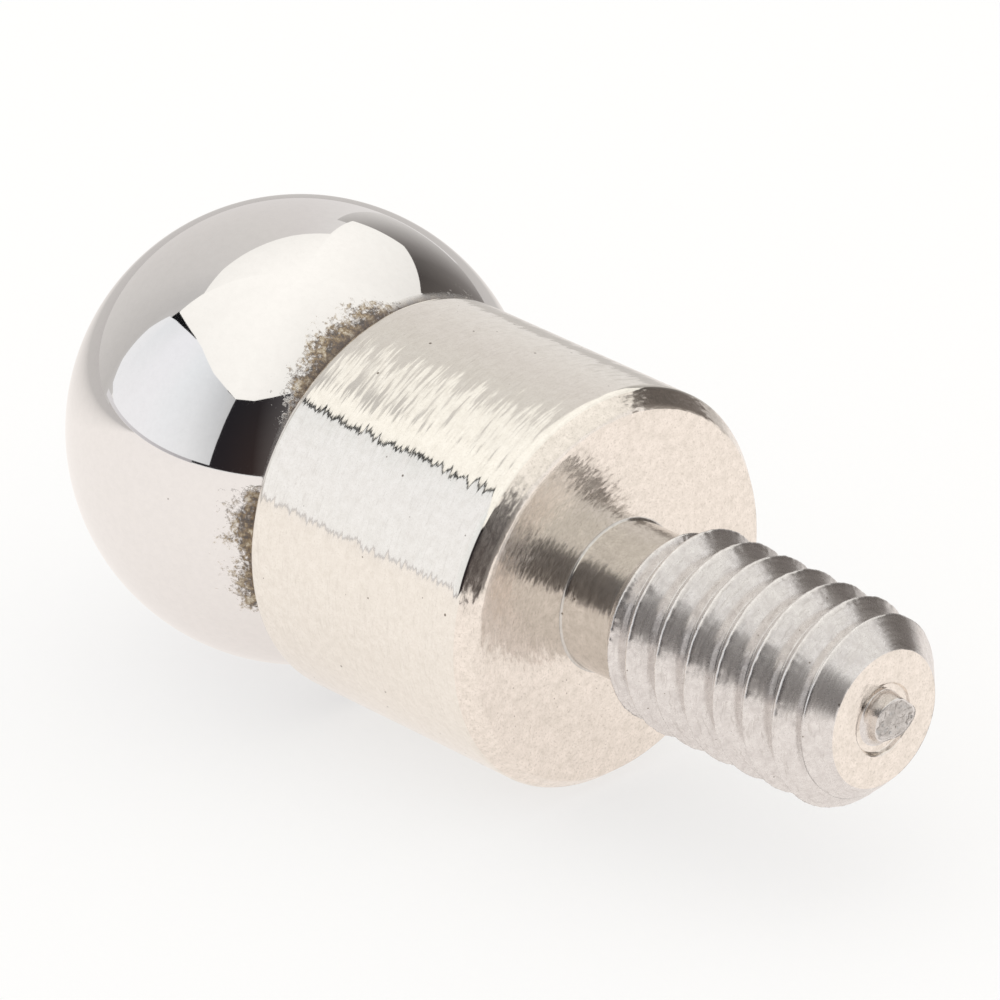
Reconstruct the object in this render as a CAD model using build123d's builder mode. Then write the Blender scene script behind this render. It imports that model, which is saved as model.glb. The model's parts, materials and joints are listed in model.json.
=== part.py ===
from build123d import *
from math import asin, atan2, ceil, cos, hypot, radians, sin, sqrt, tan
import os

# A ball-ended contact point for a dial indicator. A bearing ball is brazed into a cup in the end
# of a turned stud, and the stud's threaded shank screws into the indicator's spindle.

# Ball
ball_diameter = 6.35
ball_offset = 0.25            # the ball was brazed this far off the stud's axis

# Body of the stud, from the rim round the ball to the shoulder
body_diameter = 5.556
body_length = 4.105
rim_wall = 0.06               # wall left beside the ball's cup, where it is thinnest
rim_break = 0.05
shoulder_chamfer_width = 0.20
shoulder_chamfer_length = 0.25

# Thread, a fine inch screw with forty-eight turns to the inch
thread_diameter = 2.80
thread_pitch = 25.4 / 48
thread_angle = 60.0
crest_flat = thread_pitch / 6
root_flat = thread_pitch / 6
first_crest = 1.42            # from the shoulder to the first whole crest, along the top

# Shank, from the shoulder to the end face
shank_length = 4.83
neck_length = 0.87
neck_relief = 0.045           # the neck is turned this far below the thread's root
neck_fillet = 0.09
neck_exit_angle = 45.0        # the cone from the neck up to the thread's crest
end_relief = 0.15             # the end chamfer runs this far below the thread's root
end_chamfer_angle = 45.0
flank_overrun = 0.03          # the screw's flanks go on this far past the blank's radius

# What parting off left on the end face
recess_diameter = 1.00
recess_depth = 0.06
nib_diameter = 0.52
nib_height = 0.28             # above the end face
nib_taper = 0.03              # how much narrower its broken face is, on the radius

# Braze that fills the corner between the rim and the ball
braze_inset = 0.03            # from the edge of the rim's flat to the braze's foot
braze_height = 0.27
braze_sag = 0.05              # how far its face curves in

# Radii
ball_radius = ball_diameter / 2
body_radius = body_diameter / 2
thread_radius = thread_diameter / 2
flank_rise = (thread_pitch - crest_flat - root_flat) / 2
flank_slope = tan(radians(thread_angle / 2))
root_radius = thread_radius - flank_rise / flank_slope
neck_radius = root_radius - neck_relief
end_radius = root_radius - end_relief
recess_radius = recess_diameter / 2
nib_radius = nib_diameter / 2

# Stations along the stud's axis, counted from the ball's centre
cup_radius = body_radius - rim_wall - ball_offset
rim = sqrt(ball_radius**2 - cup_radius**2)
shoulder = rim + body_length
shoulder_edge = shoulder - shoulder_chamfer_length
neck_middle = shoulder + neck_length / 2
neck_end = shoulder + neck_length
thread_start = neck_end + (thread_radius - neck_radius) / tan(radians(neck_exit_angle))
end_face = shoulder + shank_length
thread_end = end_face - (thread_radius - end_radius) / tan(radians(end_chamfer_angle))
recess_floor = end_face - recess_depth
nib_end = end_face + nib_height

# The part lies as it comes to rest, on the ball and on the edge of the shoulder, with the ball's
# offset upward. The stud's axis dips by this angle towards the thread.
foot_drop = body_radius + ball_offset
rest_angle = asin(ball_radius / hypot(shoulder_edge, foot_drop)) - atan2(foot_drop, shoulder_edge)
along = Vector(cos(rest_angle), 0, -sin(rest_angle))
upward = Vector(sin(rest_angle), 0, cos(rest_angle))

# Both feet touch z = 0, and the origin is midway along X.
nib_reach = nib_end * along.X + (nib_radius - nib_taper - ball_offset) * upward.X
overall_length = ball_radius + nib_reach
ball_centre = Vector(ball_radius - overall_length / 2, 0, ball_radius)
axis_start = ball_centre - upward * ball_offset
stud_axis = Axis(axis_start, along)

# Upright plane through the axis: X is the radius and Y the station along the stud.
profile_plane = Plane(origin=axis_start, x_dir=upward, z_dir=(0, 1, 0))

# Plane square to the axis through the ball's centre, with X up
ball_plane = Plane(origin=ball_centre, x_dir=upward, z_dir=along)

# One pitch of the screw, as radius and rise: crest, flank, root and flank. The flanks overrun the
# blank, which cuts the crest back to its radius and its flat.
screw_radius = thread_radius + flank_overrun
screw_flat = crest_flat - 2 * flank_overrun * flank_slope
screw_rise = flank_rise + flank_overrun * flank_slope
screw_profile = [
    (screw_radius, 0),
    (screw_radius, screw_flat),
    (root_radius, screw_flat + screw_rise),
    (root_radius, screw_flat + screw_rise + root_flat),
    (screw_radius, thread_pitch),
]

# The screw reaches past the blank's two ends by at least a turn, which the blank cuts off.
lead_turns = ceil((first_crest - neck_length / 2) / thread_pitch) + 1
screw_start = shoulder + first_crest - screw_flat / 2 - lead_turns * thread_pitch
screw_turns = ceil((nib_end - screw_start) / thread_pitch)
screw_plane = Plane(origin=axis_start + along * screw_start, x_dir=upward, z_dir=along)


def helix(radius, height):
    # One turn, right-handed
    return Edge.make_helix(thread_pitch, thread_pitch, radius, center=(0, 0, height))


def thread_turn(height):
    # Each face of the thread is ruled between two helices.
    edges = [helix(radius, height + rise) for radius, rise in screw_profile]
    return [Face.make_surface_from_curves(low, high) for low, high in zip(edges, edges[1:])]


def screw_end(height):
    # A spiral ramp round the axis, and the step that one turn of it leaves
    axis_line = Edge.make_line((0, 0, height), (0, 0, height + thread_pitch))
    step = [Vector(radius, 0, height + rise) for radius, rise in screw_profile]
    return [
        Face.make_surface_from_curves(axis_line, helix(screw_radius, height)),
        Face(Wire.make_polygon([axis_line @ 0, *step, axis_line @ 1])),
    ]


os.makedirs("parts", exist_ok=True)

# Screw: turn after turn of the thread, closed at both ends, in a frame of its own
screw_faces = screw_end(0) + screw_end(screw_turns * thread_pitch)
for turn in range(screw_turns):
    screw_faces += thread_turn(turn * thread_pitch)
screw = Solid(Shell(screw_faces))

# Contact ball: a whole bearing ball, lapped and polished
with BuildPart() as contact_ball:
    with Locations(ball_plane):
        Sphere(ball_radius)

# Stud: one turned piece, with its cup, body, shoulder, neck, thread and parting nib
with BuildPart() as stud:

    # Blank of the screw, from the middle of the neck to the nib
    with BuildSketch(profile_plane):
        with BuildLine():
            Polyline(
                (0, neck_middle),
                (neck_radius, neck_middle),
                (neck_radius, neck_end),
                (thread_radius, thread_start),
                (thread_radius, thread_end),
                (end_radius, end_face),
                (recess_radius, end_face),
                (recess_radius, recess_floor),
                (nib_radius, recess_floor),
                (nib_radius - nib_taper, nib_end),
                (0, nib_end),
                close=True,
            )
        make_face()
    revolve(axis=stud_axis)

    # Thread: what the screw leaves of the blank
    with Locations(screw_plane):
        add(screw, mode=Mode.INTERSECT)

    # Body and neck, joined to the screwed end in the middle of the neck
    with BuildSketch(profile_plane):
        with BuildLine():
            body_side = Polyline(
                (0, rim),
                (body_radius - rim_break, rim),
                (body_radius, rim + rim_break),
                (body_radius, shoulder_edge),
                (body_radius - shoulder_chamfer_width, shoulder),
                (neck_radius + neck_fillet, shoulder),
            )
            neck_root = RadiusArc(
                body_side @ 1,
                (neck_radius, shoulder + neck_fillet),
                neck_fillet,
            )
            Polyline(neck_root @ 1, (neck_radius, neck_middle), (0, neck_middle), (0, rim))
        make_face()
    revolve(axis=stud_axis)

    # Cup that the ball seats in, face to face
    with Locations(ball_plane):
        Sphere(ball_radius, mode=Mode.SUBTRACT)

# Braze fillet: the corner between rim and ball, widest under the ball and run out above it
with BuildPart() as braze_fillet:
    braze_top = rim - braze_height
    crown_radius = sqrt(ball_radius**2 - braze_top**2) - ball_offset
    foot_radius = body_radius - rim_break - braze_inset
    with BuildSketch(profile_plane):
        with BuildLine():
            braze_face = SagittaArc(
                (foot_radius, rim),
                (crown_radius, braze_top),
                -braze_sag,
            )
            Polyline(braze_face @ 1, (0, braze_top), (0, rim), braze_face @ 0)
        make_face()
    revolve(axis=stud_axis)
    with Locations(ball_plane):
        Sphere(ball_radius, mode=Mode.SUBTRACT)

contact_ball.part.label = "contact_ball"
stud.part.label = "stud"
braze_fillet.part.label = "braze_fillet"

export_step(contact_ball.part, "parts/contact_ball.step")
export_step(stud.part, "parts/stud.step")
export_step(braze_fillet.part, "parts/braze_fillet.step")
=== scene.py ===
import json
import math

import bmesh
import bpy
import numpy as np
from mathutils import Matrix, Vector, noise


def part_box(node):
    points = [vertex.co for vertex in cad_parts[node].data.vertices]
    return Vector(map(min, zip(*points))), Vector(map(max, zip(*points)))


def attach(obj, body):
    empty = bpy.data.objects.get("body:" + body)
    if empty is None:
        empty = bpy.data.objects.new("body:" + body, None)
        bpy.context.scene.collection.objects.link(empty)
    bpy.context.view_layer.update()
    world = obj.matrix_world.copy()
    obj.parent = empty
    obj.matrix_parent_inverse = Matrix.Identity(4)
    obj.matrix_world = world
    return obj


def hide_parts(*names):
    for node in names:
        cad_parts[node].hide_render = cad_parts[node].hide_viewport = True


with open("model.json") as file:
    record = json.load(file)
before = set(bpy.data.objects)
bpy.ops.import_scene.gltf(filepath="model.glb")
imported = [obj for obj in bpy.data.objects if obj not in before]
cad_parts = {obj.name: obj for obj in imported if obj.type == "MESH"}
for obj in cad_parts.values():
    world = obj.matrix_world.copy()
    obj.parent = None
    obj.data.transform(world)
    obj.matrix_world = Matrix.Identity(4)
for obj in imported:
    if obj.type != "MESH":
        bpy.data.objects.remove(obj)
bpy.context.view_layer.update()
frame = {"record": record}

# A ball-ended contact point for a dial indicator, lying on its ball and the edge of its shoulder.
# Lengths in the dictionaries are millimetres. Meshes are built in metres, where the frame has them.
mm = 0.001
weldGap = 0.0004                     # millimetres within which a mesh's points are joined
seedStep = 7.3                       # how far one seed's noise lies from the next one's
noiseLow, noiseHigh = 0.3, 0.7       # most of a noise texture's values lie between them

# The frame gives the ball, and the stud's axis from its round body.
ballLow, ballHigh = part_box("contact_ball")
ballCentre = np.array((ballLow + ballHigh) / 2) / mm
ballRadius = (ballHigh.z - ballLow.z) / 2 / mm
bodyMount = next(mount for mount in frame["record"]["mounts"] if mount["name"] == "round_body")
axisAlong = np.array(bodyMount["axis"])
axisSide = np.array((0.0, -1.0, 0.0))               # the near side of the part
axisUp = np.cross(axisSide, axisAlong)
bodyPoint = np.array(bodyMount["pos_m"]) / mm
axisStart = bodyPoint - axisAlong * np.dot(bodyPoint - ballCentre, axisAlong)
ballOffset = float(np.dot(ballCentre - axisStart, axisUp))
rimStation = 1.9974                  # the stud's rim, along its axis from the ball's centre


def toLinear(hexColour):
    # sRGB hex to the linear colour that the shaders take
    values = [int(hexColour[i:i + 2], 16) / 255 for i in (1, 3, 5)]
    return [v / 12.92 if v <= 0.04045 else ((v + 0.055) / 1.055) ** 2.4 for v in values] + [1.0]


def addNode(tree, kind, links=None, **settings):
    # one node, with its settings, and with values or other nodes' outputs in its sockets
    node = tree.nodes.new(kind)
    for name, value in settings.items():
        setattr(node, name, value)
    for socket, value in (links or {}).items():
        if isinstance(value, bpy.types.NodeSocket):
            tree.links.new(value, node.inputs[socket])
        else:
            node.inputs[socket].default_value = value
    return node


def newMaterial(name):
    material = bpy.data.materials.new(name)
    material.use_nodes = True
    material.node_tree.nodes.clear()
    return material, material.node_tree


def placePoints(stations, radii, angles):
    # stud coordinates to the frame: the angle is 0 on top and grows towards the near side
    radial = np.cos(angles)[..., None] * axisUp + np.sin(angles)[..., None] * axisSide
    return (axisStart + stations[..., None] * axisAlong + radii[..., None] * radial) * mm


def unevenness(points, wavesPerMm, seed):
    # smooth noise from -1 to 1 at each point, for shapes that a tool or a flame left uneven
    flat = points.reshape(-1, 3) * (wavesPerMm / mm) + seed * seedStep
    return np.array([noise.noise(Vector(p)) for p in flat]).reshape(points.shape[:-1])


def gridQuads(rows, columns):
    # the corners of each face between neighbouring rows and columns of points
    index = np.arange(rows * columns).reshape(rows, columns)
    quads = np.stack([index[:-1, :-1], index[:-1, 1:], index[1:, 1:], index[1:, :-1]], -1)
    return quads.reshape(-1, 4).tolist()


def meshFromGrid(name, points, toolPath=None, slots=None):
    # rows and columns of points become one welded, smooth surface
    mesh = bpy.data.meshes.new(name)
    mesh.from_pydata(points.reshape(-1, 3).tolist(), [], gridQuads(*points.shape[:2]))
    if toolPath is not None:
        layer = mesh.attributes.new("toolPath", "FLOAT", "POINT")
        layer.data.foreach_set("value", toolPath.reshape(-1).astype(np.float32))
    if slots is not None:
        mesh.polygons.foreach_set("material_index", slots[:-1, :-1].reshape(-1))
    bm = bmesh.new()
    bm.from_mesh(mesh)
    bmesh.ops.remove_doubles(bm, verts=bm.verts, dist=weldGap * mm)
    bmesh.ops.dissolve_degenerate(bm, edges=bm.edges, dist=weldGap * mm / 2)
    bmesh.ops.recalc_face_normals(bm, faces=bm.faces)
    bm.to_mesh(mesh)
    bm.free()
    mesh.shade_smooth()
    piece = bpy.data.objects.new(name, mesh)
    bpy.context.collection.objects.link(piece)
    return piece


# Camera: a long lens, at the photograph's angle
cameraSettings = {
    "azimuth": 46.04,            # degrees that its right hand turns from +X
    "elevation": 24.58,
    "lens": 342.5,
    "sensor": 36.0,
    "distance": 128.27,          # from the ball's centre, along the view
    "ballRight": -2.685,         # where the ball's centre lies from the middle of the view
    "ballDown": -0.952,
    "nearest": 0.001,            # metres: nearer and farther than these, nothing is drawn
    "farthest": 10.0,
}


def makeCamera(s):
    azimuth, elevation = math.radians(s["azimuth"]), math.radians(s["elevation"])
    right = Vector((math.cos(azimuth), math.sin(azimuth), 0))
    up = Vector((
        -math.sin(azimuth) * math.sin(elevation),
        math.cos(azimuth) * math.sin(elevation),
        math.cos(elevation),
    ))
    back = right.cross(up)
    place = Vector(ballCentre) - right * s["ballRight"] + up * s["ballDown"] + back * s["distance"]
    data = bpy.data.cameras.new("camera")
    data.lens = s["lens"]
    data.sensor_width = s["sensor"]
    data.clip_start = s["nearest"]
    data.clip_end = s["farthest"]
    camera = bpy.data.objects.new("camera", data)
    turn = Matrix((right, up, back)).transposed().to_4x4()
    camera.matrix_world = Matrix.Translation(place * mm) @ turn
    bpy.context.collection.objects.link(camera)
    bpy.context.scene.camera = camera


# Studio: a shooting tent of soft boxes and cards round the part
studio = {
    "worldColour": "#FFFDFB",
    "worldStrength": 0.95,
    "floorColour": "#FFFFFF",
    "floorRoughness": 0.9,
    "floorShine": 0.1,
    "floorMirrored": "#FFF8F3",  # what a mirror sees of the floor: a little warmer
    "floorGlow": 0.6,            # how much of the floor's white is its own, as on a light table
    "mirroredGlow": 0.74,
    "floorBehind": "#B4AFAC",    # mirrored floor far behind, where the table runs into the shade
    "shadeStart": 0.011,         # metres from the origin, that way
    "shadeEnd": 0.028,
    "shadeAzimuth": 139.0,
    "floorSize": 6.0,            # metres
    # The top box is level. A corner is a place for a height of 1 above the ball, and a share of
    # the box's brightness, which falls off towards the thread.
    "topBox": {
        "height": 80.0,
        "rings": 6,
        "colour": "#FFFDF8",
        "level": 1.17,
        "corners": [
            (-0.80, -0.28, 0.90), (-0.80, 0.0, 0.90), (-0.74, 0.36, 0.89), (-0.70, 0.60, 0.90),
            (-0.615, 0.878, 0.92), (-1.42, 2.03, 0.90), (-1.29, 2.43, 0.88), (-0.57, 1.88, 0.85),
            (0.16, 1.32, 0.80), (0.40, 1.17, 0.77), (0.76, 1.12, 0.75), (1.25, 0.90, 0.72),
            (1.20, -0.35, 0.72), (0.85, -0.68, 0.78), (0.63, -1.09, 0.88), (0.48, -1.32, 0.92),
            (0.232, -1.464, 0.94), (-0.225, -1.157, 0.94), (-0.50, -0.866, 0.94),
            (-0.643, -0.766, 0.92), (-1.07, -0.52, 0.94),
        ],
    },
    # A card is a row of upright edges round the ball: degrees round from +X, the lowest and
    # highest degree up, and the colours there. Its reach is in millimetres. Mirrors see every
    # card, and only those with light are bright on matt things too.
    "cardRows": 9,
    "cards": {
        "coolBox": {
            "reach": 180.0, "light": True,
            "edges": [
                (-157.5, 12.0, 26.0, "#FAFBFD", "#FAFBFD"), (-155.5, 5.0, 35.5, "#FAFBFD", "#FAFBFD"),
                (-150.0, 1.8, 38.6, "#FDFDFF", "#F0F3F6"), (-143.0, 1.6, 41.2, "#FDFDFF", "#F4F6F9"),
                (-136.0, 1.6, 43.3, "#FDFDFF", "#FAFBFF"), (-129.0, 1.6, 44.7, "#FDFDFF", "#FAFBFF"),
                (-121.0, 1.6, 47.5, "#FCFDFF", "#F8FAFD"), (-114.0, 1.6, 47.5, "#FAFBFD", "#F4F8FB"),
                (-101.0, 1.6, 42.0, "#F4F5F6", "#E8EBEE"), (-87.0, 1.6, 36.0, "#DCDDDE", "#D1D3D5"),
                (-84.0, 17.0, 35.0, "#CFD0D1", "#CFD0D1"), (-81.0, 33.4, 34.0, "#C8C9CA", "#C8C9CA"),
            ],
        },
        "gapBehind": {
            "reach": 260.0, "light": False,
            "edges": [
                (-162.0, 32.0, 50.0, "#161618", "#161618"), (-150.0, 26.0, 54.0, "#161618", "#161618"),
                (-128.0, 30.0, 52.0, "#161618", "#161618"), (-98.0, 30.0, 46.0, "#161618", "#161618"),
            ],
        },
        "tableEdge": {
            "reach": 205.0, "light": False,
            "edges": [
                (-157.0, 0.3, 2.2, "#E8E6E7", "#E8E6E7"), (-120.0, 0.3, 2.0, "#CECBCD", "#CECBCD"),
                (-96.0, 0.3, 2.0, "#B2AFB1", "#B2AFB1"),
            ],
        },
        "openFront": {
            "reach": 190.0, "light": False,
            "edges": [
                (-96.0, 0.6, 30.0, "#242428", "#242428"), (-80.0, 0.6, 42.0, "#2C2729", "#242428"),
                (-66.0, 0.6, 46.0, "#382E2C", "#28272A"), (-54.0, 0.6, 50.0, "#6A6360", "#3C3B3E"),
                (-42.0, 0.6, 50.0, "#8A8683", "#565558"), (-32.0, 0.6, 47.0, "#8E8A88", "#706E6E"),
                (-22.0, 0.3, 40.0, "#86827F", "#A4A2A0"), (-12.0, 0.3, 30.0, "#75716E", "#C4C2C0"),
                (-2.0, 0.3, 18.0, "#75716E", "#C4C2C0"), (4.0, 0.3, 15.0, "#A09C9A", "#E0DEDC"),
            ],
        },
        "openBack": {
            "reach": 190.0, "light": False,
            "edges": [
                (46.0, 0.3, 4.0, "#8E8883", "#8E8883"), (50.0, 0.3, 14.0, "#8E8883", "#8E8883"),
                (57.0, 0.3, 25.0, "#8A847F", "#8A847F"), (62.5, 0.3, 33.5, "#85807B", "#85807B"),
                (70.0, 0.3, 42.0, "#827C78", "#726C68"), (80.0, 0.3, 44.0, "#7E7874", "#4E4945"),
                (93.0, 0.6, 42.0, "#7C7672", "#3E3A38"), (104.0, 0.6, 37.0, "#8E8986", "#4E4A47"),
                (112.0, 0.6, 33.0, "#AEAAA7", "#6C6865"), (120.0, 0.6, 30.0, "#CAC7C4", "#989491"),
                (128.0, 0.6, 28.0, "#E4E1DE", "#C6C3C0"),
            ],
        },
        "greyWall": {
            "reach": 230.0, "light": False,
            "edges": [
                (116.0, -0.6, 30.0, "#F8F6F5", "#F2F0EE"), (122.0, -0.6, 45.0, "#F4F2F0", "#E8E5E2"),
                (128.0, -0.6, 56.0, "#ECE9E7", "#E3E0DD"), (136.0, -0.6, 56.0, "#E5E1DF", "#E0DCD9"),
                (150.0, -0.6, 58.0, "#E2DEDB", "#DEDBD7"), (180.0, -0.6, 58.0, "#D8D5D2", "#DAD7D4"),
                (200.0, -0.6, 56.0, "#CBC8C5", "#CAC8C6"), (207.0, -0.6, 30.0, "#D6D4D2", "#D0CECC"),
            ],
        },
    },
}


def emitter(name, rows, shades, level, light):
    # A thin card that shines with its corners' colours. The camera doesn't see it.
    mesh = bpy.data.meshes.new(name)
    mesh.from_pydata(rows.reshape(-1, 3).tolist(), [], gridQuads(*rows.shape[:2]))
    layer = mesh.attributes.new("shade", "FLOAT_COLOR", "POINT")
    layer.data.foreach_set("color", shades.astype(np.float32).reshape(-1))
    piece = bpy.data.objects.new(name, mesh)
    bpy.context.collection.objects.link(piece)
    material, tree = newMaterial(name)
    shade = addNode(tree, "ShaderNodeAttribute", attribute_name="shade")
    emission = addNode(tree, "ShaderNodeEmission", {
        "Color": shade.outputs["Color"], "Strength": level,
    })
    addNode(tree, "ShaderNodeOutputMaterial", {"Surface": emission.outputs[0]})
    mesh.materials.append(material)
    piece.visible_camera = False
    piece.visible_shadow = False
    piece.visible_diffuse = light


def makeTopBox(box):
    places = [
        (ballCentre + np.array((x, y, 1)) * box["height"]) * mm for x, y, _ in box["corners"]
    ]
    middle = np.mean(places, 0)
    places.append(places[0])
    shares = np.array([share for _, _, share in box["corners"]] + [box["corners"][0][2]])
    rings = np.linspace(0, 1, box["rings"])[:, None, None]
    rows = middle * (1 - rings) + np.array(places)[None] * rings
    bright = 1 - rings[..., 0] + shares[None] * rings[..., 0]
    shades = bright[..., None] * np.array(toLinear(box["colour"]))
    emitter("topBox", rows, shades, box["level"], True)


def makeCard(name, card, rowCount):
    up = np.linspace(0, 1, rowCount)
    rows, shades = [], []
    for azimuth, low, high, lowColour, highColour in card["edges"]:
        a, e = math.radians(azimuth), np.radians(low * (1 - up) + high * up)
        way = np.stack([np.cos(e) * math.cos(a), np.cos(e) * math.sin(a), np.sin(e)], -1)
        rows.append((ballCentre + way * card["reach"]) * mm)
        shades.append(np.array(toLinear(lowColour)) * (1 - up[:, None])
                      + np.array(toLinear(highColour)) * up[:, None])
    emitter(name, np.array(rows), np.array(shades), 1.0, card["light"])


def opalAcrylic(s):
    # Matt white acrylic, lit a little from below for the eye and for mirrors
    material, tree = newMaterial("opalAcrylic")
    shader = addNode(tree, "ShaderNodeBsdfPrincipled", {
        "Base Color": toLinear(s["floorColour"]),
        "Roughness": s["floorRoughness"],
        "Specular IOR Level": s["floorShine"],
    })
    path = addNode(tree, "ShaderNodeLightPath")
    mirrored = addNode(tree, "ShaderNodeMath", {
        0: path.outputs["Is Glossy Ray"], 1: path.outputs["Is Transmission Ray"],
    }, operation="MAXIMUM")
    share = addNode(tree, "ShaderNodeMath", {
        0: path.outputs["Is Camera Ray"], 1: s["floorGlow"],
    }, operation="MULTIPLY")
    share = addNode(tree, "ShaderNodeMath", {
        0: mirrored.outputs[0], 1: s["mirroredGlow"], 2: share.outputs[0],
    }, operation="MULTIPLY_ADD")
    shadeWay = math.radians(s["shadeAzimuth"])
    behind = addNode(tree, "ShaderNodeVectorMath", {
        0: addNode(tree, "ShaderNodeTexCoord").outputs["Object"],
        1: (math.cos(shadeWay), math.sin(shadeWay), 0),
    }, operation="DOT_PRODUCT")
    shaded = addNode(tree, "ShaderNodeMapRange", {
        "Value": behind.outputs["Value"], "From Min": s["shadeStart"], "From Max": s["shadeEnd"],
    })
    seen = addNode(tree, "ShaderNodeMix", {
        "Factor": shaded.outputs[0], 6: toLinear(s["floorMirrored"]), 7: toLinear(s["floorBehind"]),
    }, data_type="RGBA")
    tint = addNode(tree, "ShaderNodeMix", {
        "Factor": mirrored.outputs[0], 6: toLinear(s["floorColour"]), 7: seen.outputs[2],
    }, data_type="RGBA")
    glow = addNode(tree, "ShaderNodeEmission", {"Color": tint.outputs[2], "Strength": 1.0})
    mix = addNode(tree, "ShaderNodeMixShader", {
        0: share.outputs[0], 1: shader.outputs[0], 2: glow.outputs[0],
    })
    addNode(tree, "ShaderNodeOutputMaterial", {"Surface": mix.outputs[0]})
    return material


def makeStudio(s):
    makeTopBox(s["topBox"])
    for name, card in s["cards"].items():
        makeCard(name, card, s["cardRows"])

    world = bpy.data.worlds.new("studioWorld")
    world.use_nodes = True
    background = world.node_tree.nodes["Background"]
    background.inputs["Color"].default_value = toLinear(s["worldColour"])
    background.inputs["Strength"].default_value = s["worldStrength"]
    bpy.context.scene.world = world

    half = s["floorSize"] / 2
    corners = [(-half, -half, 0), (half, -half, 0), (half, half, 0), (-half, half, 0)]
    mesh = bpy.data.meshes.new("floor")
    mesh.from_pydata(corners, [], [(0, 1, 2, 3)])
    mesh.materials.append(opalAcrylic(s))
    floor = bpy.data.objects.new("floor", mesh)
    bpy.context.collection.objects.link(floor)


makeCamera(cameraSettings)
makeStudio(studio)
print("camera and studio ready")


# What the metals share: the way round the axis at each point, and noise drawn out along the cut
def turnedFrame(tree):
    # millimetres from the axis' start, its parts along, to the near side and up, and the way round
    place = addNode(tree, "ShaderNodeTexCoord").outputs["Object"]
    offset = addNode(tree, "ShaderNodeVectorMath", {0: place, 1: axisStart * mm},
                     operation="SUBTRACT")
    fromAxis = addNode(tree, "ShaderNodeVectorMath", {0: offset.outputs[0], "Scale": 1 / mm},
                       operation="SCALE").outputs[0]
    parts = [
        addNode(tree, "ShaderNodeVectorMath", {0: fromAxis, 1: way},
                operation="DOT_PRODUCT").outputs[1]
        for way in (axisAlong, axisSide, axisUp)
    ]
    across = addNode(tree, "ShaderNodeVectorMath", {0: axisAlong, 1: fromAxis},
                     operation="CROSS_PRODUCT")
    around = addNode(tree, "ShaderNodeVectorMath", {0: across.outputs[0]}, operation="NORMALIZE")
    return fromAxis, parts, around.outputs[0]


def cutNoise(tree, toolPath, parts, alongPath, across, detail=2.0, seed=0.0):
    # Noise with its own number of waves for a millimetre of tool path and one round the stud
    waves = [
        addNode(tree, "ShaderNodeMath", {0: part, 1: scale}, operation="MULTIPLY").outputs[0]
        for part, scale in ((toolPath, alongPath), (parts[1], across), (parts[2], across))
    ]
    vector = addNode(tree, "ShaderNodeCombineXYZ", {"X": waves[0], "Y": waves[1], "Z": waves[2]})
    shift = addNode(tree, "ShaderNodeVectorMath", {0: vector.outputs[0], 1: (seed, seed, seed)},
                    operation="ADD")
    return addNode(tree, "ShaderNodeTexNoise", {
        "Vector": shift.outputs[0], "Scale": 1.0, "Detail": detail, "Roughness": 0.55,
    })


def tiltedNormal(tree, normal, around, pattern, sideways, lengthways):
    # Tilts the normal round the stud and along the cut, by a pattern's red and green
    colours = addNode(tree, "ShaderNodeSeparateColor", {"Color": pattern})
    lengthWay = addNode(tree, "ShaderNodeVectorMath", {0: normal, 1: around},
                        operation="CROSS_PRODUCT").outputs[0]
    total = normal
    for channel, way, amount in (("Red", around, sideways), ("Green", lengthWay, lengthways)):
        share = addNode(tree, "ShaderNodeMath", {0: colours.outputs[channel], 1: 0.5},
                        operation="SUBTRACT")
        share = addNode(tree, "ShaderNodeMath", {0: share.outputs[0], 1: amount * 2},
                        operation="MULTIPLY")
        step = addNode(tree, "ShaderNodeVectorMath", {0: way, "Scale": share.outputs[0]},
                       operation="SCALE")
        total = addNode(tree, "ShaderNodeVectorMath", {0: total, 1: step.outputs[0]},
                        operation="ADD").outputs[0]
    return addNode(tree, "ShaderNodeVectorMath", {0: total}, operation="NORMALIZE").outputs[0]


def spots(tree, place, perMm, size, seed):
    # Round dots in under half of the cells, with radii up to size, a share of a cell
    emptyCells = 0.55            # share of the cells
    softEdge = 0.3               # share of the largest radius
    moved = addNode(tree, "ShaderNodeVectorMath", {0: place, 1: (seed, seed, seed)},
                    operation="ADD")
    cells = addNode(tree, "ShaderNodeTexVoronoi", {"Vector": moved.outputs[0], "Scale": perMm})
    pick = addNode(tree, "ShaderNodeSeparateColor", {"Color": cells.outputs["Color"]})
    limit = addNode(tree, "ShaderNodeMapRange", {
        "Value": pick.outputs["Red"], "From Min": emptyCells, "To Max": size,
    })
    inside = addNode(tree, "ShaderNodeMath", {0: limit.outputs[0], 1: cells.outputs["Distance"]},
                     operation="SUBTRACT")
    soft = addNode(tree, "ShaderNodeMapRange", {
        "Value": inside.outputs[0], "From Max": size * softEdge,
    })
    return soft.outputs[0]


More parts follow.
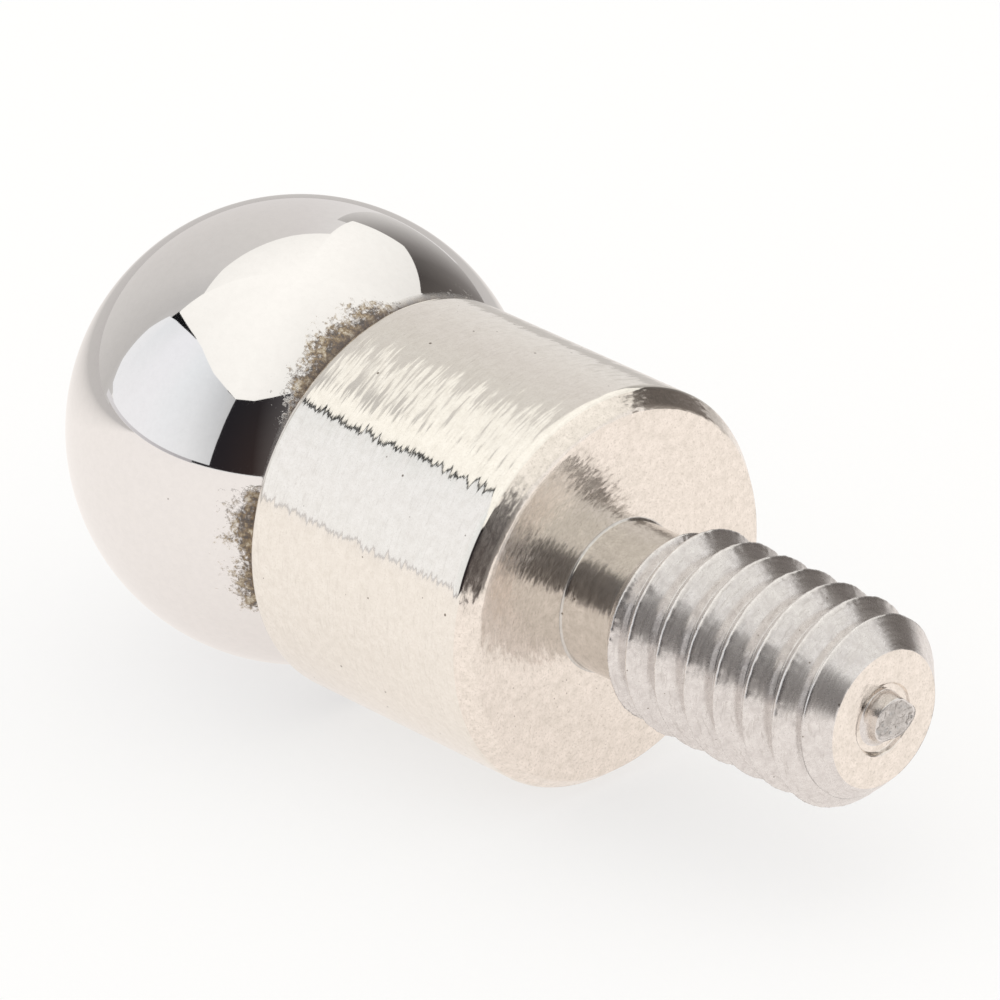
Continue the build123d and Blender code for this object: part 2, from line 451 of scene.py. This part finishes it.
# Flux: brown and pale grains that the brazing baked on the ball and on the braze. The largest
# grains are 0.06 mm wide, four pixels of the picture. The noise's detail adds finer ones.
fluxSettings = {
    "rim": rimStation,
    "grainsPerMm": 17.0,
    "clumpsPerMm": 4.0,
    "clumps": (0.5, 1.3),        # how far a thin place and a clump reach, as a share of the spread
    "coverAtRim": 0.60,          # the share that grains cover there, and where the spread ends
    "coverAtEnd": 0.24,
    "edge": (-0.08, 0.12),       # from the first trace of a grain to its full cover
    "thickest": 0.9,
    "huesPerMm": 8.0,
    "hues": [(0.36, "#2C2520"), (0.46, "#5C4834"), (0.54, "#8E7650"), (0.64, "#D4C9B4")],
    "burntShadedSeam": "#402C26",           # burnt on right at the rim, and painted shade in the joint between rim and ball
    "burntShadedSeamCover": 0.8,
    "burntShadedSeamWidth": (0.01, 0.12),   # from the rim: full cover up to the first, and none past the second
    "metallic": 0.1,
    "roughness": 0.6,
    "relief": 0.5,
    # Angle from the top towards the near side, how far the grains go, and how much they cover
    "spread": [
        (-180, 0.26, 0.70), (-150, 0.50, 1.0), (-120, 0.28, 0.75), (-85, 0.38, 0.90),
        (-60, 0.22, 0.65), (-34, 0.25, 0.60), (-26, 0.40, 0.80), (-17, 0.34, 0.75),
        (-11, 0.16, 0.60), (-3, 0.15, 0.80), (4, 0.26, 1.10), (12, 0.42, 1.35), (22, 0.48, 1.45),
        (33, 0.44, 1.35), (42, 0.38, 1.25), (49, 0.30, 1.05), (56, 0.16, 0.70), (69, 0.16, 0.60),
        (74, 0.52, 1.40), (88, 0.60, 1.55), (95, 0.50, 1.40), (101, 0.58, 1.50), (107, 0.66, 1.65),
        (113, 0.52, 1.50), (119, 0.30, 1.15), (135, 0.26, 0.95), (158, 0.42, 1.0),
        (180, 0.26, 0.70),
    ],
}


def storeSpread(piece, s):
    # how far and how thick the flux lies, stored at each vertex from its angle round the stud
    mesh = piece.data
    places = np.empty(len(mesh.vertices) * 3)
    mesh.vertices.foreach_get("co", places)
    places = places.reshape(-1, 3) / mm - axisStart
    angles = np.degrees(np.arctan2(places @ axisSide, places @ axisUp))
    spread = np.array(s["spread"])
    for name, column in (("fluxReach", 1), ("fluxCover", 2)):
        layer = mesh.attributes.new(name, "FLOAT", "POINT")
        values = np.interp(angles, spread[:, 0], spread[:, column])
        layer.data.foreach_set("value", values.astype(np.float32))


def fluxOver(tree, s, fromAxis, station):
    # gives the flux's cover from 0 to 1, and its colour
    reach = addNode(tree, "ShaderNodeAttribute", attribute_name="fluxReach").outputs["Fac"]
    cover = addNode(tree, "ShaderNodeAttribute", attribute_name="fluxCover").outputs["Fac"]
    distance = addNode(tree, "ShaderNodeMath", {0: s["rim"], 1: station}, operation="SUBTRACT")
    clumps = addNode(tree, "ShaderNodeTexNoise", {
        "Vector": fromAxis, "Scale": s["clumpsPerMm"], "Detail": 3.0, "Roughness": 0.65,
    })
    shift = addNode(tree, "ShaderNodeMapRange", {
        "Value": clumps.outputs["Fac"], "From Min": noiseLow, "From Max": noiseHigh,
        "To Min": s["clumps"][0], "To Max": s["clumps"][1],
    })
    reach = addNode(tree, "ShaderNodeMath", {0: reach, 1: shift.outputs[0]}, operation="MULTIPLY")
    share = addNode(tree, "ShaderNodeMath", {0: distance.outputs[0], 1: reach.outputs[0]},
                    operation="DIVIDE")

    # past the spread's end the cover goes on falling, until no grain is left
    likely = addNode(tree, "ShaderNodeMapRange", {
        "Value": share.outputs[0], "To Min": s["coverAtRim"], "To Max": s["coverAtEnd"],
    }, clamp=False)
    likely = addNode(tree, "ShaderNodeMath", {0: likely.outputs[0], 1: cover}, operation="MULTIPLY")
    grains = addNode(tree, "ShaderNodeTexNoise", {
        "Vector": fromAxis, "Scale": s["grainsPerMm"], "Detail": 4.0, "Roughness": 0.75,
    })
    flux = addNode(tree, "ShaderNodeMath", {0: likely.outputs[0], 1: grains.outputs["Fac"]},
                   operation="SUBTRACT")
    flux = addNode(tree, "ShaderNodeMapRange", {
        "Value": flux.outputs[0], "From Min": s["edge"][0], "From Max": s["edge"][1],
        "To Max": s["thickest"],
    })
    # a dark band at the rim: burnt flux, and painted shade in the joint between rim and ball
    burntShadedSeam = addNode(tree, "ShaderNodeMapRange", {
        "Value": distance.outputs[0], "From Min": s["burntShadedSeamWidth"][0], "From Max": s["burntShadedSeamWidth"][1],
        "To Min": s["burntShadedSeamCover"], "To Max": 0.0,
    })
    flux = addNode(tree, "ShaderNodeMath", {0: flux.outputs[0], 1: burntShadedSeam.outputs[0]},
                   operation="MAXIMUM")
    hue = addNode(tree, "ShaderNodeTexNoise", {
        "Vector": fromAxis, "Scale": s["huesPerMm"], "Detail": 5.0, "Roughness": 0.75,
    })
    ramp = addNode(tree, "ShaderNodeValToRGB", {"Fac": hue.outputs["Fac"]})
    stops = ramp.color_ramp.elements
    for stop, (position, colour) in zip((stops[0], stops[1]), (s["hues"][0], s["hues"][-1])):
        stop.position, stop.color = position, toLinear(colour)
    for position, colour in s["hues"][1:-1]:
        stops.new(position).color = toLinear(colour)
    colour = addNode(tree, "ShaderNodeMix", {
        "Factor": burntShadedSeam.outputs[0], 6: ramp.outputs["Color"], 7: toLinear(s["burntShadedSeam"]),
    }, data_type="RGBA")
    return flux.outputs[0], colour.outputs[2]


def metalUnderFlux(tree, s, metalColour, roughness, fluxHeight, fromAxis, station):
    # A bright metal where it is bare. Under flux it is brown, matt and a little raised.
    flux, fluxColour = fluxOver(tree, s, fromAxis, station)
    colour = addNode(tree, "ShaderNodeMix", {"Factor": flux, 6: metalColour, 7: fluxColour},
                     data_type="RGBA")
    metal = addNode(tree, "ShaderNodeMapRange", {
        "Value": flux, "To Min": 1.0, "To Max": s["metallic"],
    })
    rough = addNode(tree, "ShaderNodeMapRange", {
        "Value": flux, "To Min": roughness, "To Max": s["roughness"],
    })
    bump = addNode(tree, "ShaderNodeBump", {
        "Height": flux, "Strength": s["relief"], "Distance": fluxHeight * mm,
    })
    shader = addNode(tree, "ShaderNodeBsdfPrincipled", {
        "Base Color": colour.outputs[2],
        "Metallic": metal.outputs[0],
        "Roughness": rough.outputs[0],
        "Normal": bump.outputs[0],
    })
    addNode(tree, "ShaderNodeOutputMaterial", {"Surface": shader.outputs[0]})


# Ball: bearing steel, hardened, ground and lapped. A mirror, with a few specks and a faint grain.
# Lapping leaves scratches far under a pixel, so the grain is drawn about 0.1 mm wide, to show.
ballSettings = {
    "rings": 200,
    "segments": 280,
    "steel": "#EFEDEC",
    "roughness": 0.03,
    "grainsPerMm": 9.0,
    "grainRange": (0.35, 0.65),
    "grainShade": 0.97,
    "speck": "#8A847C",
    "specksPerMm": 2.6,
    "speckSize": 0.06,           # largest radius, as a share of the cells that they lie in
    "speckSeed": 3.1,
    "fluxHeight": 0.005,
}


def bearingSteel(s):
    material, tree = newMaterial("bearingSteel")
    fromAxis, parts, _ = turnedFrame(tree)
    specks = spots(tree, fromAxis, s["specksPerMm"], s["speckSize"], s["speckSeed"])
    grain = addNode(tree, "ShaderNodeTexNoise", {
        "Vector": fromAxis, "Scale": s["grainsPerMm"], "Detail": 5.0, "Roughness": 0.7,
    })
    shade = addNode(tree, "ShaderNodeMapRange", {
        "Value": grain.outputs["Fac"], "From Min": s["grainRange"][0],
        "From Max": s["grainRange"][1], "To Min": s["grainShade"],
    })
    steel = addNode(tree, "ShaderNodeVectorMath", {
        0: toLinear(s["steel"])[:3], "Scale": shade.outputs[0],
    }, operation="SCALE")
    steel = addNode(tree, "ShaderNodeMix", {
        "Factor": specks, 6: steel.outputs[0], 7: toLinear(s["speck"]),
    }, data_type="RGBA")
    metalUnderFlux(tree, fluxSettings, steel.outputs[2], s["roughness"], s["fluxHeight"],
                   fromAxis, parts[0])
    return material


def makeBall(s):
    turns = np.linspace(0, 2 * math.pi, s["segments"] + 1)
    swing = np.linspace(0, math.pi, s["rings"] + 1)
    stations = np.repeat((np.cos(swing) * ballRadius)[:, None], len(turns), 1)
    radii = np.repeat((np.sin(swing) * ballRadius)[:, None], len(turns), 1)
    points = placePoints(stations, radii, turns) + ballOffset * axisUp * mm
    ball = meshFromGrid("bearingBall", points)
    storeSpread(ball, fluxSettings)
    ball.data.materials.append(bearingSteel(s))
    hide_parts("contact_ball")
    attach(ball, "root")


makeBall(ballSettings)
print("ball ready")

# Stud: one turned piece, plated with bright nickel. Its finishes are what the tools left under the
# plate: turned along the body, faced on the flat ends, cut by a die on the thread, plunge cut at
# the neck, and torn where the nib broke off.
studSettings = {
    "columns": 288,
    "bodyRadius": bodyMount["dims"]["r_mm"],
    "rim": rimStation,           # stations along the axis, from the ball's centre
    "shoulder": 6.1024,
    "endFace": 10.9324,
    "rimBreak": 0.05,
    "rimWear": 0.12,             # how far handling has rounded the rim's edge along the body
    "rimFlat": 0.05,             # how far the rim's flat is drawn inwards
    "chamferWidth": 0.20,
    "chamferLength": 0.25,
    "edgeSoftness": 0.018,
    "rowGap": 0.03,              # to the next row of points, past a rounded edge
    "neckRadius": 1.0495,
    "neckFillet": 0.035,
    "neckLength": 0.87,
    # how many rows of points each form has
    "rows": {
        "cup": 14, "rim": 3, "wear": 9, "body": 34, "soft": 3, "chamfer": 6, "face": 22,
        "fillet": 7, "neck": 5, "turn": 22, "end": 12, "recess": 4, "nibSide": 12, "nibFace": 15,
    },
    "threadRadius": 1.40,
    "rootRadius": 1.0945,
    "pitch": 25.4 / 48,
    "firstCrest": 1.42,          # from the shoulder, along the top
    "leadTurns": 4,              # turns before the first crest, which the neck cuts off
    # half of a ridge, which plating and handling have rounded: share of the pitch, and radius
    "ridge": [(0.0, 1.40), (0.02, 1.398), (0.40, 1.19), (0.46, 1.105), (0.50, 1.0945)],
    "ridgeRounding": 0.04,       # share of the pitch
    "ridgeSamples": 5,           # radii whose mean rounds it
    "ragged": 0.008,             # how deep the die tore the crests
    "raggedMean": 0.5,           # how far down they are on average, as a share of that
    "raggedWaves": ((11.0, 1.0, 2), (23.0, 0.6, 3)),     # waves for a millimetre, share and seed
    "raggedFirst": (1.5, 0.5),   # how much more on the first crest, and for how many millimetres
    "burr": 0.022,               # torn lip where the die started
    "burrAt": 0.27,              # how far past the neck it lies, and how wide it is
    "burrWidth": 0.05,
    "burrOnTop": 0.4,            # how much more of it the top has than the sides
    "burrWaves": 27.0,
    "burrSeed": 6,
    "endRadius": 0.9445,
    "recessRadius": 0.50,
    "recessDepth": 0.06,
    "recessSlope": 0.03,
    "nibFoot": 0.385,
    "nibRadius": 0.305,
    "nibHeight": 0.28,
    "nibMean": 0.70,             # mean height of its broken face, and how much it tilts, as shares
    "nibTilt": 0.24,
    "nibSlant": 2.4,             # radians round from the top to where the broken face is lowest
    "nibLift": 0.06,
    "nibLobes": ((0.05, 3, 0.6), (0.03, 5, 2.1)),        # share of the radius, lobes and phase
    "nibFlare": (0.45, 1.3),     # powers that bend its side, inwards and along
    "nibTear": 0.035,            # how deep its face is torn
    "nibTearMean": 0.4,          # how far down the face is on average, as a share of that
    "nibTearInner": 0.25,        # share of its radius inside which the tear runs out
    "nibTearWaves": 13.0,
    "nibTearSeed": 4,
    "speck": "#8C837A",
    "speckSeed": 1.7,
    # brown on the rim: brazing stain, and painted shade in the joint with the braze
    "stain": "#8A6455",
    "rimStainAndShadeWidth": (0.005, 0.045),        # past the rim: full up to the first, none past the second
    # What the plate shows in every finish. Its own grain is a micrometre or two, too fine to show,
    # and is drawn two pixels wide. A pattern starts at its range's first value and is full at the
    # second.
    "dashesPerMm": 30.0,
    "dashesAcross": 2.5,         # times as many round the stud as the tool marks
    "dashRange": (0.58, 0.72),
    "dashSeed": 5.0,
    "patchesPerMm": 8.0,
    "patchRange": (0.40, 0.68),
    "grainsPerMm": 34.0,
    "grainRange": (0.52, 0.72),
    "polish": (0.8, 1.3),        # least and most roughness, as shares of the finish's
    # How each finish looks. Waves and specks are for a millimetre; tilts are slopes of the surface.
    # The feed of the tools left marks 0.04 to 0.06 mm apart, three or four pixels. Cut edges and
    # die marks are darker than the turned plate: painted shade, as their roughness and the neck's
    # groove shade them.
    "finishes": {
        "turned": {
            "plate": "#F6F2EB", "dull": "#E9E4DC", "roughness": 0.08, "anisotropic": 0.7,
            "alongPath": 17.0, "across": 1.8, "sideways": 0.06, "lengthways": 0.10,
            "dashes": 0.08, "specks": 5.0, "speckSize": 0.12, "stain": 0.6,
        },
        "faced": {
            "plate": "#FBF3EB", "dull": "#E2DBD2", "roughness": 0.17, "anisotropic": 0.4,
            "alongPath": 22.0, "across": 7.0, "sideways": 0.12, "lengthways": 0.16,
            "dashes": 0.18, "specks": 9.0, "speckSize": 0.11, "stain": 0.0,
        },
        "threaded": {
            "plate": "#EDEAE8", "dull": "#D6D1CF", "roughness": 0.26, "anisotropic": 0.6,
            "alongPath": 28.0, "across": 1.4, "sideways": 0.04, "lengthways": 0.18,
            "dashes": 0.20, "specks": 8.0, "speckSize": 0.12, "stain": 0.0,
        },
        # its darker plate is painted shade in the groove of the neck
        "necked": {
            "plate": "#DEDBD7", "dull": "#CAC6C1", "roughness": 0.15, "anisotropic": 0.5,
            "alongPath": 24.0, "across": 5.0, "sideways": 0.08, "lengthways": 0.12,
            "dashes": 0.15, "specks": 6.0, "speckSize": 0.12, "stain": 0.0,
        },
        "broken": {
            "plate": "#DAD7D5", "dull": "#A9A6A3", "roughness": 0.28, "anisotropic": 0.0,
            "alongPath": 22.0, "across": 22.0, "sideways": 0.6, "lengthways": 0.6,
            "dashes": 0.3, "specks": 14.0, "speckSize": 0.2, "stain": 0.0,
        },
    },
}


def brightNickel(name, s, finish):
    # Electroplated over tool marks: a bright, warm metal that draws its reflections out in streaks
    material, tree = newMaterial(name)
    fromAxis, parts, around = turnedFrame(tree)
    toolPath = addNode(tree, "ShaderNodeAttribute", attribute_name="toolPath").outputs["Fac"]
    normal = addNode(tree, "ShaderNodeNewGeometry").outputs["Normal"]
    cuts = cutNoise(tree, toolPath, parts, finish["alongPath"], finish["across"])
    tilted = tiltedNormal(tree, normal, around, cuts.outputs["Color"],
                          finish["sideways"], finish["lengthways"])
    specks = spots(tree, fromAxis, finish["specks"], finish["speckSize"], s["speckSeed"])

    # short dashes that follow the cut
    dashes = cutNoise(tree, toolPath, parts, s["dashesPerMm"],
                      finish["across"] * s["dashesAcross"], 1.0, s["dashSeed"])
    dashes = addNode(tree, "ShaderNodeMapRange", {
        "Value": dashes.outputs["Fac"], "From Min": s["dashRange"][0],
        "From Max": s["dashRange"][1], "To Max": finish["dashes"],
    })
    marks = addNode(tree, "ShaderNodeMath", {0: specks, 1: dashes.outputs[0]}, operation="MAXIMUM")

    # dull patches and grain
    patches = addNode(tree, "ShaderNodeTexNoise", {
        "Vector": fromAxis, "Scale": s["patchesPerMm"], "Detail": 7.0, "Roughness": 0.8,
    })
    dull = addNode(tree, "ShaderNodeMapRange", {
        "Value": patches.outputs["Fac"], "From Min": s["patchRange"][0],
        "From Max": s["patchRange"][1],
    })
    grain = addNode(tree, "ShaderNodeTexNoise", {
        "Vector": fromAxis, "Scale": s["grainsPerMm"], "Detail": 2.0, "Roughness": 0.6,
    })
    grain = addNode(tree, "ShaderNodeMapRange", {
        "Value": grain.outputs["Fac"], "From Min": s["grainRange"][0],
        "From Max": s["grainRange"][1],
    })
    dull = addNode(tree, "ShaderNodeMath", {0: dull.outputs[0], 1: grain.outputs[0]},
                   operation="MAXIMUM")
    plate = addNode(tree, "ShaderNodeMix", {
        "Factor": dull.outputs[0], 6: toLinear(finish["plate"]), 7: toLinear(finish["dull"]),
    }, data_type="RGBA")
    colour = addNode(tree, "ShaderNodeMix", {
        "Factor": marks.outputs[0], 6: plate.outputs[2], 7: toLinear(s["speck"]),
    }, data_type="RGBA")

    # a brown line along the rim: the brazing's stain, and painted shade in the joint with the braze
    stain = addNode(tree, "ShaderNodeMapRange", {
        "Value": parts[0], "From Min": s["rim"] + s["rimStainAndShadeWidth"][0],
        "From Max": s["rim"] + s["rimStainAndShadeWidth"][1], "To Min": finish["stain"], "To Max": 0.0,
    })
    colour = addNode(tree, "ShaderNodeMix", {
        "Factor": stain.outputs[0], 6: colour.outputs[2], 7: toLinear(s["stain"]),
    }, data_type="RGBA")
    rough = addNode(tree, "ShaderNodeMapRange", {
        "Value": patches.outputs["Fac"], "From Min": noiseLow, "From Max": noiseHigh,
        "To Min": finish["roughness"] * s["polish"][0],
        "To Max": finish["roughness"] * s["polish"][1],
    })
    shader = addNode(tree, "ShaderNodeBsdfPrincipled", {
        "Base Color": colour.outputs[2],
        "Metallic": 1.0,
        "Roughness": rough.outputs[0],
        "Anisotropic": finish["anisotropic"],
        "Anisotropic Rotation": 0.25,        # highlights lie across the tool marks
        "Tangent": around,
        "Normal": tilted,
    })
    addNode(tree, "ShaderNodeOutputMaterial", {"Surface": shader.outputs[0]})
    return material


def straightRows(start, end, count):
    # (radius, station) pairs from start up to, but not with, end
    share = np.linspace(0, 1, count, endpoint=False)[:, None]
    return np.array(start) * (1 - share) + np.array(end) * share


def turnRows(rows, angles):
    # (radius, station) pairs to the radii and stations of points all round the stud
    rows = np.concatenate(rows)
    return tuple(np.repeat(rows[:, i:i + 1], len(angles), 1) for i in (0, 1))


def cupForm(s, angles):
    # the cup, where the ball sits, from the axis out to the rim's flat
    cupEdge = math.sqrt(ballRadius ** 2 - s["rim"] ** 2)
    reach = np.sqrt(cupEdge ** 2 - (ballOffset * np.sin(angles)) ** 2)
    reach = ballOffset * np.cos(angles) + reach
    radii = np.linspace(0, 1, s["rows"]["cup"])[:, None] * reach[None, :]
    apart = radii ** 2 - 2 * radii * ballOffset * np.cos(angles) + ballOffset ** 2
    return radii, np.sqrt(np.maximum(ballRadius ** 2 - apart, s["rim"] ** 2))


def bodyForms(s, angles):
    # the turned body from its rim to the shoulder's edge, the faced shoulder, and half of the neck
    rows, soft, gap = s["rows"], s["edgeSoftness"], s["rowGap"]
    rim, shoulder, body, neck = s["rim"], s["shoulder"], s["bodyRadius"], s["neckRadius"]
    edge = shoulder - s["chamferLength"]
    flatOuter = body - s["rimBreak"]
    faceOuter = body - s["chamferWidth"]
    fillet = s["neckFillet"]
    wear = np.linspace(0, math.pi / 2, rows["wear"])
    swing = np.linspace(0, math.pi / 2, rows["fillet"])
    turned = [
        straightRows((flatOuter - s["rimFlat"], rim), (flatOuter, rim), rows["rim"]),
        np.stack([body - s["rimBreak"] * (1 - np.sin(wear)),
                  rim + s["rimWear"] * (1 - np.cos(wear))], 1),
        straightRows((body, rim + s["rimWear"] + gap), (body, edge - soft), rows["body"]),
        straightRows((body, edge - soft), (body - soft, edge + soft), rows["soft"]),
    ]
    faced = [
        straightRows((body - soft, edge + soft), (faceOuter + soft, shoulder - soft),
                     rows["chamfer"]),
        straightRows((faceOuter + soft, shoulder - soft), (faceOuter - soft, shoulder),
                     rows["soft"]),
        straightRows((faceOuter - soft, shoulder), (neck + fillet, shoulder), rows["face"]),
    ]
    necked = [
        np.stack([neck + fillet * (1 - np.sin(swing)), shoulder + fillet * (1 - np.cos(swing))], 1),
        straightRows((neck, shoulder + fillet + gap), (neck, shoulder + s["neckLength"] / 2),
                     rows["neck"]),
    ]
    return [turnRows(part, angles) for part in (turned, faced, necked)]


def threadForm(s, angles):
    # the thread, whose rows climb by a pitch in a turn
    pitch, perTurn = s["pitch"], s["rows"]["turn"]
    neckMiddle = s["shoulder"] + s["neckLength"] / 2
    neckEnd = s["shoulder"] + s["neckLength"]
    start = s["shoulder"] + s["firstCrest"] - s["leadTurns"] * pitch
    count = int((s["endFace"] + pitch - start) / pitch) * perTurn
    turns = np.arange(count)[:, None] / perTurn
    stations = start + pitch * (turns + angles[None, :] / (2 * math.pi))
    shares, heights = zip(*s["ridge"])
    shares = list(shares) + [1 - share for share in reversed(shares)]
    heights = list(heights) + list(reversed(heights))
    near = np.linspace(-s["ridgeRounding"], s["ridgeRounding"], s["ridgeSamples"])
    radii = np.mean([np.interp((turns + step) % 1.0, shares, heights) for step in near], 0)

    # the neck's cone and the end's chamfer, both at 45 degrees, cut it off
    blankStations = [
        neckMiddle, neckEnd, neckEnd + s["threadRadius"] - s["neckRadius"],
        s["endFace"] - (s["threadRadius"] - s["endRadius"]), s["endFace"],
    ]
    blankRadii = [
        s["neckRadius"], s["neckRadius"], s["threadRadius"], s["threadRadius"], s["endRadius"],
    ]
    stations = np.clip(stations, neckMiddle, s["endFace"])
    radii = np.minimum(radii, np.interp(stations, blankStations, blankRadii))

    # the die left the crests ragged, most of all the first one, and a burr where it started
    crests = placePoints(stations, radii, angles)
    ragged = sum(share * unevenness(crests, waves, seed) for waves, share, seed in s["raggedWaves"])
    more, reach = s["raggedFirst"]
    high = np.clip((radii - s["rootRadius"]) / (s["threadRadius"] - s["rootRadius"]), 0, 1) ** 3
    first = np.clip(1 - (stations - neckEnd) / reach, 0, 1) * (stations > neckEnd)
    radii = radii - s["ragged"] * high * (1 + more * first) * (s["raggedMean"] + ragged)
    lip = np.exp(-((stations - neckEnd - s["burrAt"]) / s["burrWidth"]) ** 2)
    lip = lip * (1 - s["burrOnTop"] + s["burrOnTop"] * np.cos(angles))
    radii = radii + s["burr"] * lip * unevenness(crests, s["burrWaves"], s["burrSeed"])
    return radii, stations


def endForm(s, angles):
    # the end face and its recess, in to the foot of the nib
    rows, end, floor = s["rows"], s["endFace"], s["endFace"] - s["recessDepth"]
    wallFoot = s["recessRadius"] - s["recessSlope"]
    return turnRows([
        straightRows((s["endRadius"], end), (s["recessRadius"], end), rows["end"]),
        straightRows((s["recessRadius"], end), (wallFoot, floor), rows["recess"]),
        straightRows((wallFoot, floor), (s["nibFoot"], floor), rows["recess"]),
    ], angles)


def nibForms(s, angles):
    # the nib's side and its torn face, which broke off on a slant
    end, floor, height = s["endFace"], s["endFace"] - s["recessDepth"], s["nibHeight"]
    share = np.linspace(0, 1, s["rows"]["nibSide"])[:, None]
    inward = np.linspace(1, 0, s["rows"]["nibFace"] + 1)[1:, None]
    lobes = 1 + sum(size * np.sin(count * angles + phase) for size, count, phase in s["nibLobes"])
    rimRadii = s["nibRadius"] * lobes[None, :]
    slant = s["nibTilt"] * np.cos(angles - s["nibSlant"])[None, :]
    top = end + height * (s["nibMean"] - slant)
    inPower, alongPower = s["nibFlare"]
    sideRadii = s["nibFoot"] + (rimRadii - s["nibFoot"]) * share ** inPower
    sideStations = floor + (top - floor) * share ** alongPower
    faceRadii = rimRadii * inward
    faceStations = end + height * (s["nibMean"] - slant * inward)
    torn = unevenness(placePoints(faceStations, faceRadii, angles), s["nibTearWaves"],
                      s["nibTearSeed"])
    fade = np.minimum(1, inward / s["nibTearInner"])
    faceStations = faceStations + s["nibTear"] * (torn - s["nibTearMean"]) * fade
    return ((sideRadii, np.minimum(sideStations, end + height)),
            (faceRadii, np.minimum(faceStations, end + height)))


def makeStud(s):
    angles = np.linspace(0, 2 * math.pi, s["columns"] + 1)
    cup = cupForm(s, angles)
    body, shoulder, neck = bodyForms(s, angles)
    thread, end = threadForm(s, angles), endForm(s, angles)
    nibSide, nibFace = nibForms(s, angles)

    # what each form was finished with, and its radii and stations, from the cup on to the nib
    forms = [
        ("turned", cup), ("turned", body), ("faced", shoulder), ("necked", neck),
        ("threaded", thread), ("faced", end), ("threaded", nibSide), ("broken", nibFace),
    ]
    radii = np.concatenate([form[0] for _, form in forms])
    stations = np.concatenate([form[1] for _, form in forms])

    # each face's finish. The thread's rows that the neck cuts off have the neck's.
    finishOrder = list(s["finishes"])
    slots = np.concatenate([
        np.full(form[0].shape, finishOrder.index(finish), np.int32) for finish, form in forms
    ])
    neckEnd = s["shoulder"] + s["neckLength"]
    threaded, necked = finishOrder.index("threaded"), finishOrder.index("necked")
    slots[(slots == threaded) & (stations < neckEnd)] = necked

    # the nib leans up from its foot
    points = placePoints(stations, radii, angles)
    floor = s["endFace"] - s["recessDepth"]
    lift = np.clip((stations - floor) / s["recessDepth"], 0, 1) * (radii < s["nibFoot"])
    points += (lift * s["nibLift"] * mm)[..., None] * axisUp

    # how far the tool has travelled from the cup's middle, for the marks that it left
    steps = np.hypot(np.diff(radii, axis=0), np.diff(stations, axis=0))
    toolPath = np.concatenate([np.zeros((1, len(angles))), np.cumsum(steps, 0)])
    stud = meshFromGrid("platedStud", points, toolPath, slots)
    for name, finish in s["finishes"].items():
        stud.data.materials.append(brightNickel(name + "Nickel", s, finish))
    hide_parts("stud")
    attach(stud, "root")
    print("stud ready, with", len(stud.data.polygons), "faces")


makeStud(studSettings)

# Braze: silver solder that ran out between the rim and the ball, with flux grains on it
brazeSettings = {
    "columns": 360,
    "rows": 14,
    "inset": 0.03,
    "sag": 0.04,
    # angle from the top towards the near side, and how far the solder climbs the ball
    "climb": [
        (-180, 0.22), (-120, 0.26), (-60, 0.20), (-12, 0.13), (8, 0.20), (35, 0.20), (48, 0.10),
        (60, 0.07), (71, 0.08), (82, 0.18), (108, 0.25), (150, 0.20), (180, 0.22),
    ],
    "uneven": 0.3,               # share of the climb, with its waves for a millimetre and its seed
    "unevenWaves": 1.4,
    "unevenSeed": 1,
    "solder": "#D9D1C8",
    "tarnish": "#6F5C48",
    "tarnishPerMm": 7.0,
    "tarnishRange": (0.42, 0.62),
    "tarnishCover": 0.8,
    "roughness": 0.22,
    "fluxHeight": 0.006,
}


def silverSolder(s):
    # Cast smooth by its own flow: a soft, warm shine, tarnished in patches
    material, tree = newMaterial("silverSolder")
    fromAxis, parts, _ = turnedFrame(tree)
    stain = addNode(tree, "ShaderNodeTexNoise", {
        "Vector": fromAxis, "Scale": s["tarnishPerMm"], "Detail": 4.0, "Roughness": 0.7,
    })
    stain = addNode(tree, "ShaderNodeMapRange", {
        "Value": stain.outputs["Fac"], "From Min": s["tarnishRange"][0],
        "From Max": s["tarnishRange"][1], "To Max": s["tarnishCover"],
    })
    solder = addNode(tree, "ShaderNodeMix", {
        "Factor": stain.outputs[0], 6: toLinear(s["solder"]), 7: toLinear(s["tarnish"]),
    }, data_type="RGBA")
    metalUnderFlux(tree, fluxSettings, solder.outputs[2], s["roughness"], s["fluxHeight"],
                   fromAxis, parts[0])
    return material


def makeBraze(s, stud):
    angles = np.linspace(0, 2 * math.pi, s["columns"] + 1)
    foot = stud["bodyRadius"] - stud["rimBreak"] - s["inset"]
    share = np.linspace(0, 1, s["rows"])[:, None]
    ring = placePoints(np.full(len(angles), stud["rim"]), np.full(len(angles), foot), angles)
    uneven = 1 + s["uneven"] * unevenness(ring, s["unevenWaves"], s["unevenSeed"])
    climb = np.array(s["climb"])
    degrees = (np.degrees(angles) + 180) % 360 - 180
    crown = stud["rim"] - np.interp(degrees, climb[:, 0], climb[:, 1]) * uneven

    # where the crown meets the ball, which lies off the stud's axis
    ballAt = np.sqrt(ballRadius ** 2 - crown ** 2)
    crownRadius = np.sqrt(ballAt ** 2 - (ballOffset * np.sin(angles)) ** 2)
    crownRadius = ballOffset * np.cos(angles) + crownRadius
    radii = foot * (1 - share) + crownRadius[None, :] * share
    radii = radii - s["sag"] * np.sin(math.pi * share)
    stations = stud["rim"] * (1 - share) + crown[None, :] * share
    braze = meshFromGrid("brazeFillet", placePoints(stations, radii, angles))
    storeSpread(braze, fluxSettings)
    braze.data.materials.append(silverSolder(s))
    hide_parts("braze_fillet")
    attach(braze, "root")


makeBraze(brazeSettings, studSettings)
print("braze ready")

bpy.context.scene.view_settings.view_transform = "Standard"
